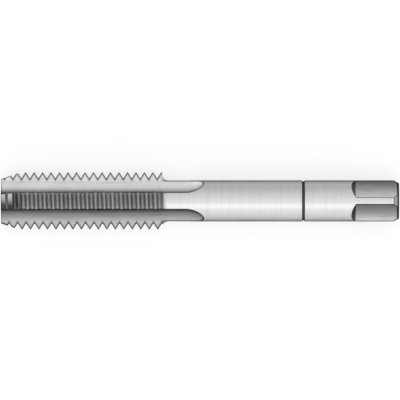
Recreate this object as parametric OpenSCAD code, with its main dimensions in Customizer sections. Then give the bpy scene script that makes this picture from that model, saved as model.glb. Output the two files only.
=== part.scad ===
// Hand tap for a coarse 12 mm thread.
// It is one bar of tool steel: a ground thread with a short lead, three flutes that run out on the shank,
// a marking ring, and a square end to turn it by.
// It lies level on the edges of its two lower lands, as it would on a bench, with its axis along X, its tip
// towards -X and its third land on top. The origin is on the axis, halfway along the plain shank.

/* [Thread] */
// Diameter over the crests, a little over the nominal 12 mm
thread_d = 12.15; // [11.4:0.05:13]
// Distance from one crest to the next
pitch = 1.75; // [1.25:0.05:2]
// Length of the thread from the tip
thread_l = 33.2; // [26:0.2:38]
// Angle between a flank and the plane across the axis
flank_angle = 30; // [27.5:0.5:32]
// Width of the flat on a crest
crest_flat = 0.14; // [0.08:0.01:0.24]
// Width of the flat in a root
root_flat = 0.1; // [0.06:0.01:0.2]
// Turn of the thread about the axis, in degrees
thread_turn = 300; // [0:5:355]
// Radius of the hollow where the thread drops to the shank
neck_r = 1.3; // [0.6:0.1:1.6]

/* [Lead] */
// Diameter of the tip at its cutting edges
tip_d = 9.5; // [9:0.1:10.6]
// Length from the tip to the first full thread
lead_l = 3.6; // [2.4:0.1:9]
// Fall of the lead from the cutting edge to the heel of a land
lead_relief = 0.15; // [0.05:0.01:0.3]

/* [Flutes] */
// Width of a land at the crests
land_w = 3.35; // [2.6:0.05:4]
// Diameter of the core between the flutes
core_d = 5.65; // [5:0.05:6.6]
// Length of the flutes past the end of the thread
flute_past = 8.7; // [6.5:0.1:12]

/* [Shank] */
// Overall length
overall_l = 82; // [76:0.5:110]
// Diameter of the shank
shank_d = 8.5; // [8:0.1:9.2]
// Distance from the drive end to the middle of the marking ring
ring_from_end = 19.7; // [14:0.1:24]
// Width of the marking ring at the surface
ring_w = 0.6; // [0.3:0.05:1.2]
// Width of the marking ring at its floor
ring_floor = 0.35; // [0.1:0.05:0.8]
// Depth of the marking ring
ring_depth = 0.2; // [0.1:0.05:0.4]

/* [Drive end] */
// Distance across the flats of the square
square_af = 6.8; // [6.2:0.1:7.2]
// Length of the flats
square_l = 8.9; // [7:0.1:11]
// Slope of the shoulder where a flat runs out, in degrees
shoulder_angle = 42; // [30:1:60]
// Length of the bevel on the end
bevel_l = 1.1; // [0.5:0.1:1.6]
// Depth of the bevel on the end
bevel_depth = 0.6; // [0.3:0.05:0.9]

/* [Centres] */
// Diameter of the centre's mouth at the tip
tip_mouth_d = 3.35; // [2.8:0.05:3.8]
// Diameter of the pilot hole at the tip
tip_pilot_d = 1.6; // [1:0.1:2]
// Depth of the pilot hole past its countersink at the tip
tip_pilot_l = 1.2; // [0.6:0.1:2]
// Diameter of the centre's mouth at the drive end
drive_mouth_d = 4.25; // [3.4:0.05:4.8]
// Diameter of the pilot hole at the drive end
drive_pilot_d = 2; // [1.2:0.1:2.5]
// Depth of the pilot hole past its countersink at the drive end
drive_pilot_l = 1.5; // [0.6:0.1:2.5]

/* [Hidden] */
$fn = 96;
flutes = 3;
square_sides = 4;
centre_angle = 60;
drill_point = 118;
// How far a cut runs past the surface that it opens
clear = 1;
// Straight steps in one turn of the thread groove
turn_steps = 36;

crest_r = thread_d / 2;
shank_r = shank_d / 2;
core_r = core_d / 2;
tip_r = tip_d / 2;
flat_r = square_af / 2;
flute_pitch = 360 / flutes;
neck = min(neck_r, crest_r - shank_r);

// The groove is a V with a narrow floor, and its walls are carried a little past the crests
groove_half = (pitch - crest_flat) / 2;
root_r = crest_r - (groove_half - root_flat / 2) / tan(flank_angle);
groove_rise = crest_flat / 2;
groove_spread = groove_half + groove_rise * tan(flank_angle);
groove_section = [
    [root_r, -root_flat / 2],
    [crest_r + groove_rise, -groove_spread],
    [crest_r + groove_rise, groove_spread],
    [root_r, root_flat / 2]
];
corners = len(groove_section);
steps = turn_steps * (ceil((thread_l + neck) / pitch) + 2);

// A flute is part of a round hollow that touches the core and meets both land edges at the crests
land_half = asin(land_w / 2 / crest_r);
mouth_half = flute_pitch / 2 - land_half;
flute_c = (crest_r * crest_r - core_r * core_r) / (2 * (crest_r * cos(mouth_half) - core_r));
flute_r = flute_c - core_r;
flute_l = thread_l + flute_past;
runout_l = sqrt(flute_r * flute_r - (flute_c - shank_r) * (flute_c - shank_r));
flute_straight = flute_l - runout_l;

square_from = overall_l - square_l;
shoulder_from = square_from - (shank_r - flat_r) / tan(shoulder_angle);
grip_middle = (flute_l + shoulder_from) / 2;

module bar() {
    rotate_extrude() {
        square([crest_r, thread_l]);
        polygon([[0, 0], [shank_r, 0], [shank_r, overall_l - bevel_l], [shank_r - bevel_depth, overall_l],
            [0, overall_l]]);
        difference() {
            translate([0, thread_l]) square([shank_r + neck, neck]);
            translate([shank_r + neck, thread_l + neck]) circle(r = neck);
        }
    }
}

// The lead is ground on each land in turn, about a centre that is set off towards its cutting edge
module lead_cut() {
    set_off = lead_relief / (2 * sin(land_half));
    mean_r = tip_r - lead_relief / 2;
    slope = (crest_r - tip_r) / lead_l;
    reach = 2 * crest_r;
    half = flute_pitch / 2;
    difference() {
        translate([0, 0, -clear]) linear_extrude(height = lead_l + 2 * clear)
            polygon([[0, 0], reach * [cos(half), -sin(half)], [reach, 0], reach * [cos(half), sin(half)]]);
        translate([0, -set_off, -2 * clear])
            cylinder(h = lead_l + 4 * clear, r1 = mean_r - 2 * clear * slope,
                r2 = mean_r + (lead_l + 2 * clear) * slope);
    }
}

module flute() {
    translate([flute_c, 0, flute_straight]) {
        translate([0, 0, -flute_straight - clear]) cylinder(h = flute_straight + clear, r = flute_r);
        sphere(r = flute_r);
    }
}

function groove_point(step, corner) =
    let (turn = 360 * step / turn_steps + thread_turn, r = groove_section[corner][0])
    [r * cos(turn), r * sin(turn), groove_section[corner][1] + pitch * (step / turn_steps - 1)];

module thread_groove() {
    last = corners * steps;
    sides = [
        for (step = [0:steps - 1]) for (corner = [0:corners - 1])
        let (a = corners * step + corner, b = corners * step + (corner + 1) % corners)
        each [[a, b, b + corners], [a, b + corners, a + corners]]
    ];
    ends = [[0, 3, 2], [0, 2, 1], [last, last + 1, last + 2], [last, last + 2, last + 3]];
    polyhedron(
        points = [for (step = [0:steps]) for (corner = [0:corners - 1]) groove_point(step, corner)],
        faces = concat(sides, ends)
    );
}

module marking_ring() {
    translate([0, 0, overall_l - ring_from_end]) rotate_extrude()
        polygon([[shank_r - ring_depth, -ring_floor / 2], [shank_r - ring_depth, ring_floor / 2],
            [shank_r, ring_w / 2], [shank_r + clear, ring_w / 2],
            [shank_r + clear, -ring_w / 2], [shank_r, -ring_w / 2]]);
}

// What is milled off to leave one flat of the square
module flat_cut() {
    outer = shank_r + clear;
    rotate([90, 0, 0]) translate([0, 0, -outer]) linear_extrude(height = 2 * outer)
        polygon([[flat_r, square_from], [flat_r, overall_l + clear], [outer, overall_l + clear],
            [outer, square_from - (outer - flat_r) / tan(shoulder_angle)]]);
}

module centre_hole(mouth_d, pilot_d, pilot_l) {
    sink = tan(centre_angle / 2);
    cone_l = (mouth_d - pilot_d) / 2 / sink;
    bottom = cone_l + pilot_l;
    rotate_extrude()
        polygon([[0, -clear], [mouth_d / 2 + clear * sink, -clear], [pilot_d / 2, cone_l],
            [pilot_d / 2, bottom], [0, bottom + pilot_d / 2 / tan(drill_point / 2)]]);
}

// The bar with all that is cut in it before its thread
module blank() {
    difference() {
        bar();
        for (i = [0:flutes - 1]) rotate([0, 0, (i + 0.5) * flute_pitch]) lead_cut();
        for (i = [0:flutes - 1]) rotate([0, 0, i * flute_pitch]) flute();
        for (i = [0:square_sides - 1]) rotate([0, 0, (i + 0.5) * 360 / square_sides]) flat_cut();
        marking_ring();
        centre_hole(tip_mouth_d, tip_pilot_d, tip_pilot_l);
        translate([0, 0, overall_l]) mirror([0, 0, 1])
            centre_hole(drive_mouth_d, drive_pilot_d, drive_pilot_l);
    }
}

module tap() {
    color("silver")
    translate([-grip_middle, 0, 0]) rotate([0, 90, 0])
    difference() {
        blank();
        thread_groove();
    }
}

tap();
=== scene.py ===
import math

import bpy
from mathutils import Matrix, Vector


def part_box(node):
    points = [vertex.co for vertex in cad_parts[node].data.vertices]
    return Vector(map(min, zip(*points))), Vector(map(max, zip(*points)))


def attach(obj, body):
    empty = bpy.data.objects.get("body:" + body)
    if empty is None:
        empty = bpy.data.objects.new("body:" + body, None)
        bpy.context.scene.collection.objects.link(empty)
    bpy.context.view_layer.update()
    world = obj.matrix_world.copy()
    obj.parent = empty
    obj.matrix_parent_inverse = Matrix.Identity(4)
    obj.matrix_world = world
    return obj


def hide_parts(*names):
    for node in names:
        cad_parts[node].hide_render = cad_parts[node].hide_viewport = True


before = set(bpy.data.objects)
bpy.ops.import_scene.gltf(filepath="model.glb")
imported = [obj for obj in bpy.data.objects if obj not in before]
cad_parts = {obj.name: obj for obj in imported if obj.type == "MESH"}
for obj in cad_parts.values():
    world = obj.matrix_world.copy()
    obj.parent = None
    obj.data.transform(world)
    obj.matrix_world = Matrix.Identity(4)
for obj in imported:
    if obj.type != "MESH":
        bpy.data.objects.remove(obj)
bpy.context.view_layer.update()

# Bar of tool steel. The real tap is one bar, turned between centres, hardened and then ground all over.
# Dark scale is left in its marking ring, and the bevel on its drive end is darker along both edges.
# It is turned here in millimetres, from its tip at 0, and goes to its place in the frame when it is
# finished.
MM_PER_M = 1000.0
OVERALL_L = 82.0
SHANK_R = 4.25
CREST_R = 6.075
THREAD_L = 33.2
PITCH = 1.75
CREST_FLAT = 0.14
ROOT_FLAT = 0.1
FLANK = math.radians(30)
TIP_R = 4.75
NECK_R = 1.3
NECK_STEPS = 10
RING_AT = OVERALL_L - 19.7
RING_W = 0.6
RING_FLOOR = 0.35
RING_DEPTH = 0.2
RING_TONE = 0.06
BEVEL_L = 1.1
BEVEL_DEPTH = 0.6
SIDES = 160
ON_FACE = 0.01
low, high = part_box("tap")
low_x = low.x * MM_PER_M
bevel_r = SHANK_R - BEVEL_DEPTH
groove_half = (PITCH - CREST_FLAT) / 2
root_r = CREST_R - (groove_half - ROOT_FLAT / 2) / math.tan(FLANK)


class Wire:
    """A socket in a node tree. Sums on it add Math nodes, and node() adds any other node."""

    def __init__(self, tree, socket=None):
        self.tree = tree
        self.socket = socket

    def node(self, kind, settings=None, values=None, output=0):
        made = self.tree.nodes.new(kind)
        for name, value in (settings or {}).items():
            setattr(made, name, value)
        for name, value in (values or {}).items():
            if isinstance(value, Wire):
                self.tree.links.new(value.socket, made.inputs[name])
            else:
                made.inputs[name].default_value = value
        return Wire(self.tree, made.outputs[output] if made.outputs else None)

    def other(self, output):
        """Another output of the node that this socket belongs to."""
        return Wire(self.tree, self.socket.node.outputs[output])

    def math(self, operation, *others):
        return self.node("ShaderNodeMath", {"operation": operation}, dict(enumerate((self, *others))))

    def blend(self, start, stop, first, last, way="SMOOTHSTEP"):
        """From first to last as this value goes from start to stop, and level beyond them."""
        limits = {"Value": self, "From Min": start, "From Max": stop, "To Min": first, "To Max": last}
        return self.node("ShaderNodeMapRange", {"interpolation_type": way}, limits)

    def __add__(self, value):
        return self.math("ADD", value)

    def __sub__(self, value):
        return self.math("SUBTRACT", value)

    def __rsub__(self, value):
        return self * -1.0 + value

    def __mul__(self, value):
        return self.math("MULTIPLY", value)

    def __truediv__(self, value):
        return self.math("DIVIDE", value)

    def __pow__(self, value):
        return self.math("POWER", value)

    __radd__ = __add__
    __rmul__ = __mul__


# Each noise swings about its middle. These say how far the fine lines, the broad bands and the clouds on a
# steel change its tone and its roughness, how bright and how much smoother it is in the patches that are
# rubbed bare, and its tint seen at a slant.
MIDDLE = 0.5
LINES_TONE = 0.4
BANDS_TONE = 0.16
CLOUDS_TONE = 0.16
LINES_ROUGH = 0.2
CLOUDS_ROUGH = 0.1
BARE_TONE = 0.78
BARE_POLISH = 0.08
PATCH_FROM = 0.4
PATCH_TO = 0.58
PATCH_LEAST = 0.25
SLANT_TINT = 0.1


def steel(name, roughness, lines, depth, grain, tone, worn=None):
    """Tool steel with the fine lines that grinding or milling leaves.

    lines: how many a millimetre crosses along the axis, across it and outwards. depth: theirs, in
    millimetres. grain: how strongly they show. tone: how bright the steel is. worn: where its edges are
    rubbed bare.
    """
    finish = bpy.data.materials.new(name)
    finish.use_nodes = True
    finish.node_tree.nodes.clear()
    new = Wire(finish.node_tree)
    place = new.node("ShaderNodeTexCoord", output="Object")
    metres = new.node("ShaderNodeSeparateXYZ", values={0: place})
    x, y, z = metres * MM_PER_M, metres.other(1) * MM_PER_M, metres.other(2) * MM_PER_M
    radius = (y * y + z * z) ** 0.5
    angle = z.math("ARCTAN2", y)
    along, across, outwards = lines
    spread = new.node(
        "ShaderNodeCombineXYZ", values={0: x * along, 1: y * across, 2: z * across + radius * outwards}
    )
    fine = new.node("ShaderNodeTexNoise", values={"Vector": spread, "Scale": 1.0, "Detail": 3.0})
    broad = new.node("ShaderNodeTexNoise", values={"Vector": spread, "Scale": 0.12, "Detail": 2.0})
    cloud = new.node("ShaderNodeTexNoise", values={"Vector": place, "Scale": 220.0, "Detail": 4.0})
    uneven = (fine - MIDDLE) * LINES_TONE + (broad - MIDDLE) * BANDS_TONE + (cloud - MIDDLE) * CLOUDS_TONE
    shade = tone(x, y, radius, angle) * (uneven * grain + 1.0)
    rough = (fine - MIDDLE) * LINES_ROUGH + (cloud - MIDDLE) * CLOUDS_ROUGH + roughness
    if worn:
        bare = worn(x, y, radius, angle) * cloud.blend(PATCH_FROM, PATCH_TO, PATCH_LEAST, 1.0)
        shade = shade * (1.0 - bare) + bare * BARE_TONE
        rough = rough - bare * BARE_POLISH
    colour = new.node("ShaderNodeVectorMath", {"operation": "SCALE"}, {0: (1.0, 1.0, 1.0), "Scale": shade})
    deep = depth / MM_PER_M
    bump = new.node("ShaderNodeBump", values={"Strength": 1.0, "Distance": deep, "Height": fine})
    surface = new.node(
        "ShaderNodeBsdfPrincipled",
        values={
            "Base Color": colour,
            "Metallic": 1.0,
            "Specular Tint": (SLANT_TINT, SLANT_TINT, SLANT_TINT, 1.0),
            "Roughness": rough,
            "Normal": bump,
        },
    )
    new.node("ShaderNodeOutputMaterial", values={"Surface": surface})
    return finish


def start_alone(piece):
    bpy.ops.object.select_all(action="DESELECT")
    bpy.context.view_layer.objects.active = piece
    piece.select_set(True)


def face_outwards():
    bpy.ops.mesh.select_all(action="SELECT")
    bpy.ops.mesh.normals_make_consistent(inside=False)


def turned(name, stations, sides, finish, off_centre=0.0):
    """A solid turned about a line along X, through (place, radius) stations."""
    start, radius = stations[0]
    bpy.ops.object.select_all(action="DESELECT")
    bpy.ops.mesh.primitive_circle_add(vertices=sides, radius=radius, fill_type="NGON")
    piece = bpy.context.object
    piece.name = name
    piece.data.materials.append(finish)
    piece.location = (start, off_centre, 0.0)
    piece.rotation_euler = (0.0, math.pi / 2, 0.0)
    bpy.ops.object.transform_apply(location=True, rotation=True, scale=True)
    bpy.ops.object.mode_set(mode="EDIT")
    bpy.ops.mesh.select_all(action="SELECT")
    for (x0, r0), (x1, r1) in zip(stations, stations[1:]):
        bpy.ops.mesh.extrude_region_move(TRANSFORM_OT_translate={"value": (x1 - x0, 0.0, 0.0)})
        bpy.ops.transform.resize(value=(1.0, r1 / r0, r1 / r0), center_override=(x1, off_centre, 0.0))
    face_outwards()
    bpy.ops.object.mode_set(mode="OBJECT")
    return piece


def cut(piece, cutter):
    """Takes the cutter out of the piece. The faces that it leaves keep the cutter's finish."""
    start_alone(piece)
    boolean = piece.modifiers.new("cut", "BOOLEAN")
    boolean.operation = "DIFFERENCE"
    boolean.solver = "EXACT"
    boolean.material_mode = "TRANSFER"
    boolean.object = cutter
    bpy.ops.object.modifier_apply(modifier=boolean.name)
    bpy.data.objects.remove(cutter)


def even(level):
    """A tone that is the same all over."""
    return lambda x, y, radius, angle: level


def shank_painted_shade(x, y, radius, angle):
    """Painted shade: a little darker along both sides."""
    off_top = 0.4
    side_shade_from, side_shade_to = 0.66 * SHANK_R, 0.98 * SHANK_R
    unshaded, side_shaded = 0.57, 0.45
    return (y + off_top).math("ABSOLUTE").blend(side_shade_from, side_shade_to, unshaded, side_shaded)


def thread_painted_light(x, y, radius, angle):
    """Painted shade mid-flank, painted highlight towards crest and root. Darker over the first full teeth.
    """
    first_teeth_from, first_teeth_to, first_teeth_tone = low_x + 4.0, low_x + 4.6, 0.6
    middle, rim, middle_tone, rim_tone = 0.05, 0.58, 0.26, 0.7
    flat_from, flat_to, flat_share = 0.6, 0.64, 0.45
    from_middle = (radius - (CREST_R + root_r) / 2).math("ABSOLUTE")
    flank = from_middle.blend(middle, rim, middle_tone, rim_tone)
    flat = from_middle.blend(flat_from, flat_to, 1.0, flat_share)
    return flank * flat * x.blend(first_teeth_from, first_teeth_to, first_teeth_tone, 1.0)


def at_drive_end(x):
    return x.math("GREATER_THAN", low_x + OVERALL_L / 2)


def end_tone(x, y, radius, angle):
    """Darker along both edges of the bevel on the drive end."""
    inner_full, inner_gone, inner_dark = 0.12, 0.3, 0.93
    outer_from, outer_full, outer_dark = SHANK_R - 0.18, SHANK_R - 0.04, 0.6
    tip_tone, lighter = 0.26, 0.1
    inner = (radius - bevel_r).math("ABSOLUTE").blend(inner_full, inner_gone, inner_dark, 0.0)
    outer = radius.blend(outer_from, outer_full, 0.0, outer_dark)
    scale = inner.math("MAXIMUM", outer) * at_drive_end(x)
    return (1.0 - scale) * (at_drive_end(x) * lighter + tip_tone)


def end_wear(x, y, radius, angle):
    """The rim of the tip and the inner edge of the bevel on the drive end are rubbed."""
    bevel_w, bevel_wear = 0.04, 0.6
    rim_from, rim_full, rim_wear = TIP_R - 0.25, TIP_R - 0.1, 0.7
    bevel = (radius - bevel_r).math("ABSOLUTE").blend(0.0, bevel_w, bevel_wear, 0.0)
    rim = radius.blend(rim_from, rim_full, 0.0, rim_wear)
    return bevel * at_drive_end(x) + rim * (1.0 - at_drive_end(x))


shank_ground = steel(
    "shank_ground", roughness=0.34, lines=(9.0, 0.1, 0.0), depth=0.003, grain=0.7, tone=shank_painted_shade
)
end_turned = steel(
    "end_turned", roughness=0.4, lines=(6.0, 0.1, 6.0), depth=0.006, grain=1.6, tone=end_tone, worn=end_wear
)
ring_scale = steel(
    "ring_scale", roughness=0.55, lines=(6.0, 0.6, 0.0), depth=0.01, grain=2.0, tone=even(RING_TONE)
)
thread_ground = steel(
    "thread_ground", roughness=0.36, lines=(10.0, 0.1, 10.0), depth=0.003, grain=1.2, tone=thread_painted_light
)
neck_turns = [math.pi / 2 * step / NECK_STEPS for step in range(NECK_STEPS + 1)]
neck = [
    (THREAD_L + NECK_R * (1 - math.cos(turn)), SHANK_R + NECK_R * (1 - math.sin(turn)))
    for turn in neck_turns
]
ring = [
    (RING_AT - RING_W / 2, SHANK_R),
    (RING_AT - RING_FLOOR / 2, SHANK_R - RING_DEPTH),
    (RING_AT + RING_FLOOR / 2, SHANK_R - RING_DEPTH),
    (RING_AT + RING_W / 2, SHANK_R),
]
bevel = [(OVERALL_L - BEVEL_L, SHANK_R), (OVERALL_L, bevel_r)]
bar = [(0.0, CREST_R), (THREAD_L, CREST_R), *neck, *ring, *bevel]
tap = turned("tap_steel", bar, SIDES, shank_ground)
for finish in (end_turned, ring_scale, thread_ground):
    tap.data.materials.append(finish)
for face in tap.data.polygons:
    at = face.center.x
    finish = shank_ground
    if abs(at - RING_AT) < RING_W / 2:
        finish = ring_scale
    elif at < ON_FACE or at > OVERALL_L - BEVEL_L:
        finish = end_turned
    elif at < THREAD_L:
        finish = thread_ground
    face.material_index = tap.data.materials.find(finish.name)

# Lead. The first teeth are ground down towards the tip, on each land in turn, so that each starts its cut.
# The ground face falls away from the cutting edge to the heel of the land. Its colour holds a painted
# highlight at the cutting edge and painted shade at the heel, and is darker at the tip's rim.
FLUTES = 3
LEAD_L = 3.6
LEAD_RELIEF = 0.15
LAND_W = 3.35
CLEAR = 1.0
land_half = math.asin(LAND_W / 2 / CREST_R)
lead_slope = (CREST_R - TIP_R) / LEAD_L


def lead_painted_light(x, y, radius, angle):
    """Painted highlight at each cutting edge and shade at each heel, land by land. One land is on top."""
    edge_tone, heel_tone, heel_from = 0.5, 0.05, 0.9
    rim_w, rim_share = 0.3, 0.3
    share = 2 * math.pi / FLUTES
    from_edge = (angle - (math.pi / 2 - land_half)) / share
    bright = from_edge.math("FRACT").blend(0.0, heel_from * 2 * land_half / share, edge_tone, heel_tone)
    return bright * x.blend(low_x, low_x + rim_w, rim_share, 1.0)


def four_sided(corners, finish):
    """A flat face on four corners, given in order round it. A new plane numbers its own in two rows."""
    row_order = (0, 1, 3, 2)
    bpy.ops.object.select_all(action="DESELECT")
    bpy.ops.mesh.primitive_plane_add(size=1.0)
    face = bpy.context.object
    face.data.materials.append(finish)
    for index, corner in zip(row_order, corners):
        face.data.vertices[index].co = corner
    return face


def pull(piece, run):
    """Pulls a flat face out into a solid."""
    start_alone(piece)
    bpy.ops.object.mode_set(mode="EDIT")
    bpy.ops.mesh.select_all(action="SELECT")
    bpy.ops.mesh.extrude_region_move(TRANSFORM_OT_translate={"value": run})
    face_outwards()
    bpy.ops.object.mode_set(mode="OBJECT")


def turn_about_axis(piece, angle):
    """Turns a cutter about the tap's axis, from straight down towards +Y."""
    start_alone(piece)
    piece.rotation_euler = (angle, 0.0, 0.0)
    bpy.ops.object.transform_apply(location=True, rotation=True, scale=True)


lead_ground = steel(
    "lead_ground", roughness=0.3, lines=(10.0, 0.1, 10.0), depth=0.003, grain=1.2, tone=lead_painted_light
)
mean_r = TIP_R - LEAD_RELIEF / 2
set_off = LEAD_RELIEF / (2 * math.sin(land_half))
half_share = math.pi / FLUTES
reach = 2 * CREST_R
cone_ends = [(at, mean_r + at * lead_slope) for at in (-2 * CLEAR, LEAD_L + 2 * CLEAR)]
sector_corners = [(-CLEAR, 0.0, 0.0)]
for turn in (-half_share, 0.0, half_share):
    sector_corners.append((-CLEAR, reach * math.sin(turn), -reach * math.cos(turn)))
for land in range(FLUTES):
    sector = four_sided(sector_corners, lead_ground)
    pull(sector, (LEAD_L + 2 * CLEAR, 0.0, 0.0))
    cut(sector, turned("lead_cone", cone_ends, SIDES, lead_ground, -set_off))
    turn_about_axis(sector, (land + 0.5) * 2 * math.pi / FLUTES)
    cut(tap, sector)

# Flutes. Three round hollows are milled along the bar, between the lands, for chips and oil. Each touches
# the core, meets a land edge on both sides and ends in a round run-out on the shank. Their colour holds
# painted shade near y = 0, on the -Y side and round the run-outs, and is darker along the teeth and tip.
CORE_R = 2.825
FLUTE_L = THREAD_L + 8.7
THREAD_TURN = 300
mouth_half = half_share - land_half
flute_c = (CREST_R**2 - CORE_R**2) / (2 * (CREST_R * math.cos(mouth_half) - CORE_R))
flute_r = flute_c - CORE_R
flute_straight = FLUTE_L - math.sqrt(flute_r**2 - (flute_c - SHANK_R) ** 2)
# Where the middle of the thread's groove crosses the +Y side, in pitches from the tip
groove_start = (90 - THREAD_TURN) / 360


def flute_painted_shade(x, y, radius, angle):
    """Painted shade near y = 0, on the -Y side and round the run-out. Darker along its teeth and tip."""
    off_top, deep_to, shallow_from, deep_tone, shallow_tone = 0.3, 1.8, 4.0, 0.5, 1.02
    rim_full, rim_gone, rim_dark, away_dark, behind_tip = 0.1, 0.6, 0.95, 0.04, 0.25
    runout_from, runout_full, runout_dark = 3.8, SHANK_R - 0.05, 0.8
    teeth_to, runout_at = low_x + THREAD_L - 0.6, low_x + THREAD_L + 0.8
    side, dark_side, light_side = 2.6, 0.42, 0.82
    turns = (x - low_x) / PITCH - groove_start - angle / (2 * math.pi)
    from_groove = ((turns + 0.5).math("FRACT") - 0.5).math("ABSOLUTE") * PITCH
    from_flank = from_groove - (radius - root_r) * math.tan(FLANK)
    from_crest = ((x - low_x) * lead_slope + TIP_R).math("MINIMUM", CREST_R) - radius
    from_rim = from_flank.math("MINIMUM", from_crest).math("MINIMUM", x - low_x + behind_tip)
    teeth = from_rim.blend(rim_full, rim_gone, rim_dark, away_dark)
    runout = radius.blend(runout_from, runout_full, 0.0, runout_dark)
    past_thread = x.blend(teeth_to, runout_at, 0.0, 1.0)
    rim_and_runout_dark = teeth * (1.0 - past_thread) + runout * past_thread
    depth = (y + off_top).math("ABSOLUTE").blend(deep_to, shallow_from, deep_tone, shallow_tone, "LINEAR")
    return depth * (1.0 - rim_and_runout_dark) * y.blend(-side, side, dark_side, light_side)


flute_milled = steel(
    "flute_milled", roughness=0.32, lines=(0.1, 7.0, 0.0), depth=0.005, grain=2.0, tone=flute_painted_shade
)
for number in range(FLUTES):
    bpy.ops.object.select_all(action="DESELECT")
    bpy.ops.mesh.primitive_uv_sphere_add(segments=SIDES, ring_count=SIDES // 2, radius=flute_r)
    flute = bpy.context.object
    flute.data.materials.append(flute_milled)
    flute.location = (flute_straight, 0.0, -flute_c)
    flute.rotation_euler = (0.0, math.pi / 2, 0.0)
    bpy.ops.object.transform_apply(location=True, rotation=True, scale=True)
    bpy.ops.object.mode_set(mode="EDIT")
    bpy.ops.mesh.select_all(action="SELECT")
    bpy.ops.mesh.bisect(
        plane_co=(flute_straight, 0.0, 0.0), plane_no=(1.0, 0.0, 0.0), clear_inner=True, use_fill=True
    )
    to_tip = (-flute_straight - CLEAR, 0.0, 0.0)
    bpy.ops.mesh.extrude_region_move(TRANSFORM_OT_translate={"value": to_tip})
    face_outwards()
    bpy.ops.object.mode_set(mode="OBJECT")
    turn_about_axis(flute, number * 2 * math.pi / FLUTES)
    cut(tap, flute)

# Square. Four flats are milled on the drive end for a tap wrench, and each runs out in a sloping shoulder.
# Their colour holds painted shade, dark to bright across each flat in turn and darker on the -Y side.
# It is also darker on the shoulders, along the edges and towards the drive end.
FLAT_R = 3.4
FLAT_FROM = OVERALL_L - 8.9
SHOULDER = math.radians(42)
FLATS = 4
flat_half = math.acos(FLAT_R / SHANK_R)


def flat_painted_shade(x, y, radius, angle):
    """Painted shade dark to bright across each flat in turn, darker on -Y. Dark on shoulder and edges."""
    least, steady, sudden, sudden_power = 0.13, 0.48, 0.14, 4.0
    side, dark_side = 2.6, 0.77
    shoulder_w, shoulder_share = 0.1, 0.27
    edge_full, edge_gone, edge_dark = 0.03, 0.23, 0.85
    end_full, end_gone, end_dark = 0.3, 0.6, 0.93
    share = 2 * math.pi / FLATS
    from_edge = (angle - (math.pi / 4 - flat_half)) / share
    across = from_edge.math("FRACT").blend(0.0, 2 * flat_half / share, 0.0, 1.0, "LINEAR")
    bright = across * steady + across**sudden_power * sudden + least
    bright = bright * y.blend(-side, side, dark_side, 1.0)
    bright = bright * x.blend(low_x + FLAT_FROM - shoulder_w, low_x + FLAT_FROM, shoulder_share, 1.0)
    from_end = low_x + OVERALL_L - x
    bar_r = (from_end * (BEVEL_DEPTH / BEVEL_L) + bevel_r).math("MINIMUM", SHANK_R)
    edges = (bar_r - radius).blend(edge_full, edge_gone, edge_dark, 0.0)
    end = from_end.blend(end_full, end_gone, end_dark, 0.0)
    return bright * (1.0 - edges.math("MAXIMUM", end))


def flat_wear(x, y, radius, angle):
    """The corners of the square are rubbed, where the wrench and the hands get at them."""
    wear_from, wear_full, wear = SHANK_R - 0.04, SHANK_R - 0.01, 0.5
    return radius.blend(wear_from, wear_full, 0.0, wear)


square_milled = steel(
    "square_milled",
    roughness=0.34,
    lines=(0.3, 6.0, 0.0),
    depth=0.005,
    grain=1.8,
    tone=flat_painted_shade,
    worn=flat_wear,
)
outer = SHANK_R + CLEAR
flat_profile = [
    (FLAT_FROM, FLAT_R),
    (OVERALL_L + CLEAR, FLAT_R),
    (OVERALL_L + CLEAR, outer),
    (FLAT_FROM - (outer - FLAT_R) / math.tan(SHOULDER), outer),
]
for number in range(FLATS):
    flat = four_sided([(x, -outer, -r) for x, r in flat_profile], square_milled)
    pull(flat, (0.0, 2 * outer, 0.0))
    turn_about_axis(flat, (number + 0.5) * 2 * math.pi / FLATS)
    cut(tap, flat)

# Centres. A 60 degree countersink with a pilot hole behind it is drilled in each end of the bar. The bar
# turns on them in the lathe and the grinder, so both lie on its axis.
CENTRE_HALF = math.radians(30)
DRILL_HALF = math.radians(59)
DRILL_POINT_R = 0.01
CENTRE_TONE = 0.5
TIP_MOUTH_R = 1.675
TIP_PILOT_R = 0.8
TIP_PILOT_L = 1.2
DRIVE_MOUTH_R = 2.125
DRIVE_PILOT_R = 1.0
DRIVE_PILOT_L = 1.5
centre_drilled = steel(
    "centre_drilled", roughness=0.35, lines=(6.0, 0.2, 0.0), depth=0.004, grain=1.4, tone=even(CENTRE_TONE)
)
centres = (
    (0.0, 1.0, TIP_MOUTH_R, TIP_PILOT_R, TIP_PILOT_L),
    (OVERALL_L, -1.0, DRIVE_MOUTH_R, DRIVE_PILOT_R, DRIVE_PILOT_L),
)
for face_x, into, mouth_r, pilot_r, pilot_l in centres:
    cone_l = (mouth_r - pilot_r) / math.tan(CENTRE_HALF)
    bottom = cone_l + pilot_l
    stations = [
        (-CLEAR, mouth_r + CLEAR * math.tan(CENTRE_HALF)),
        (cone_l, pilot_r),
        (bottom, pilot_r),
        (bottom + pilot_r / math.tan(DRILL_HALF), DRILL_POINT_R),
    ]
    placed = [(face_x + into * at, r) for at, r in stations]
    cut(tap, turned("centre_drill", placed, SIDES // 2, centre_drilled))

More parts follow.
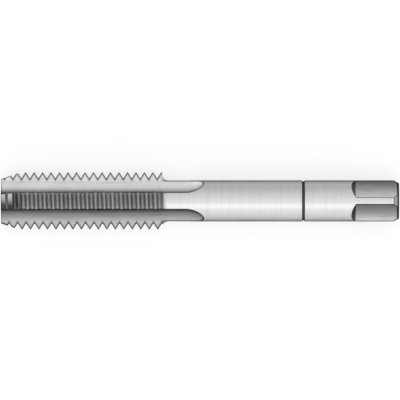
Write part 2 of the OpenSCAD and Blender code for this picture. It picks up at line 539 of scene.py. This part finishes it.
# Thread. A right-hand V groove is ground round the bar last, and leaves the teeth standing on the lands.
# It starts at the tip, turns with a pitch of 1.75 mm and runs out where the bar drops to the shank.
TURN_STEPS = 72
turns = math.ceil((THREAD_L + NECK_R) / PITCH) + 2
groove_rise = CREST_FLAT / 2
groove_spread = groove_half + groove_rise * math.tan(FLANK)
groove_section = [
    (-ROOT_FLAT / 2, root_r),
    (-groove_spread, CREST_R + groove_rise),
    (groove_spread, CREST_R + groove_rise),
    (ROOT_FLAT / 2, root_r),
]
groove = four_sided([(x + PITCH * (groove_start - 1), r, 0.0) for x, r in groove_section], thread_ground)
screw = groove.modifiers.new("turns", "SCREW")
screw.axis = "X"
screw.screw_offset = PITCH
screw.iterations = turns
screw.steps = TURN_STEPS
screw.render_steps = TURN_STEPS
bpy.ops.object.modifier_apply(modifier=screw.name)
bpy.ops.object.mode_set(mode="EDIT")
bpy.ops.mesh.select_all(action="SELECT")
bpy.ops.mesh.fill_holes(sides=len(groove_section))
face_outwards()
bpy.ops.object.mode_set(mode="OBJECT")
cut(tap, groove)

# Finished tap. It is brought to metres and goes to its place in the frame: its tip and its axis are where
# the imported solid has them. Its rounds are made smooth, and every ground or milled edge stays sharp.
SHARP_EDGE = math.radians(25)
start_alone(tap)
tap.scale = (1 / MM_PER_M, 1 / MM_PER_M, 1 / MM_PER_M)
tap.location = (low.x, 0.0, 0.0)
bpy.ops.object.transform_apply(location=True, rotation=True, scale=True)
bpy.ops.object.shade_smooth_by_angle(angle=SHARP_EDGE)
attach(tap, "root")
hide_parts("tap")

# Floor. A plain white sheet lies under the tap, which rests on the edges of its two lower lands. The sheet
# glows where it is seen, so that it stays white and the tap's shadow on it is soft.
FLOOR_SIZE = 2.0
FLOOR_WHITE = 0.3
FLOOR_GLOW = 0.67
bpy.ops.object.select_all(action="DESELECT")
bpy.ops.mesh.primitive_plane_add(size=FLOOR_SIZE, location=(0.0, 0.0, low.z))
floor = bpy.context.object
floor.name = "floor"
paper = bpy.data.materials.new("white_floor")
paper.use_nodes = True
paper.node_tree.nodes.clear()
new = Wire(paper.node_tree)
by_camera = new.node("ShaderNodeLightPath", output="Is Camera Ray")
seen = by_camera + by_camera.other("Is Glossy Ray") + by_camera.other("Is Transmission Ray")
white = (FLOOR_WHITE, FLOOR_WHITE, FLOOR_WHITE, 1.0)
sheet = new.node(
    "ShaderNodeBsdfPrincipled", values={"Base Color": white, "Roughness": 0.9, "Specular IOR Level": 0.0}
)
glow = new.node("ShaderNodeEmission", values={"Strength": seen * FLOOR_GLOW})
lit = new.node("ShaderNodeAddShader", values={0: sheet, 1: glow})
new.node("ShaderNodeOutputMaterial", values={"Surface": lit})
floor.data.materials.append(paper)

# Light. An even pale room, a little brighter on the side that the lamp stands on. The lamp is one large
# soft square above that side, turned outwards, so that only a little of its light falls on the tap.
LAMP_TILT = math.radians(35)
ROOM_EVEN = 0.9
ROOM_SIDE = 0.46
LAMP_SIZE = 0.5
LAMP_AWAY = 0.5
LAMP_LEVEL = 0.5
to_lamp = (0.0, -math.sin(LAMP_TILT), math.cos(LAMP_TILT))
room = bpy.data.worlds.new("room")
bpy.context.scene.world = room
room.use_nodes = True
room.node_tree.nodes.clear()
new = Wire(room.node_tree)
way = new.node("ShaderNodeTexCoord", output="Generated")
facing = new.node("ShaderNodeVectorMath", {"operation": "DOT_PRODUCT"}, {0: way, 1: to_lamp}, "Value")
pale = {"Color": (1.0, 1.0, 1.0, 1.0), "Strength": facing * ROOM_SIDE + ROOM_EVEN}
new.node("ShaderNodeOutputWorld", values={"Surface": new.node("ShaderNodeBackground", values=pale)})
lamp_at = [LAMP_AWAY * part for part in to_lamp]
bpy.ops.object.light_add(type="AREA", location=lamp_at, rotation=(-LAMP_TILT, 0.0, 0.0))
lamp = bpy.context.object
lamp.name = "soft_lamp"
lamp.data.shape = "SQUARE"
lamp.data.size = LAMP_SIZE
lamp.data.energy = math.pi * LAMP_SIZE**2 * LAMP_LEVEL

# Camera. It looks straight down on the tap, with the tip on the left. It stands well back behind a long
# lens, so that the tap shows in true proportion, as in a drawing.
FRAME_PIXELS = 400.0
TAP_PIXELS = 397.8
AXIS_PIXEL = 200.9
CAMERA_UP = 2.5
span = (high.x - low.x) * FRAME_PIXELS / TAP_PIXELS
middle_x = (low.x + high.x) / 2
middle_y = (AXIS_PIXEL - FRAME_PIXELS / 2) * span / FRAME_PIXELS
bpy.ops.object.camera_add(location=(middle_x, middle_y, CAMERA_UP), rotation=(0.0, 0.0, 0.0))
camera = bpy.context.object
camera.data.lens = camera.data.sensor_width * CAMERA_UP / span
camera.data.clip_start = 0.01
camera.data.clip_end = 10.0
bpy.context.scene.camera = camera
bpy.context.scene.view_settings.view_transform = "Standard"
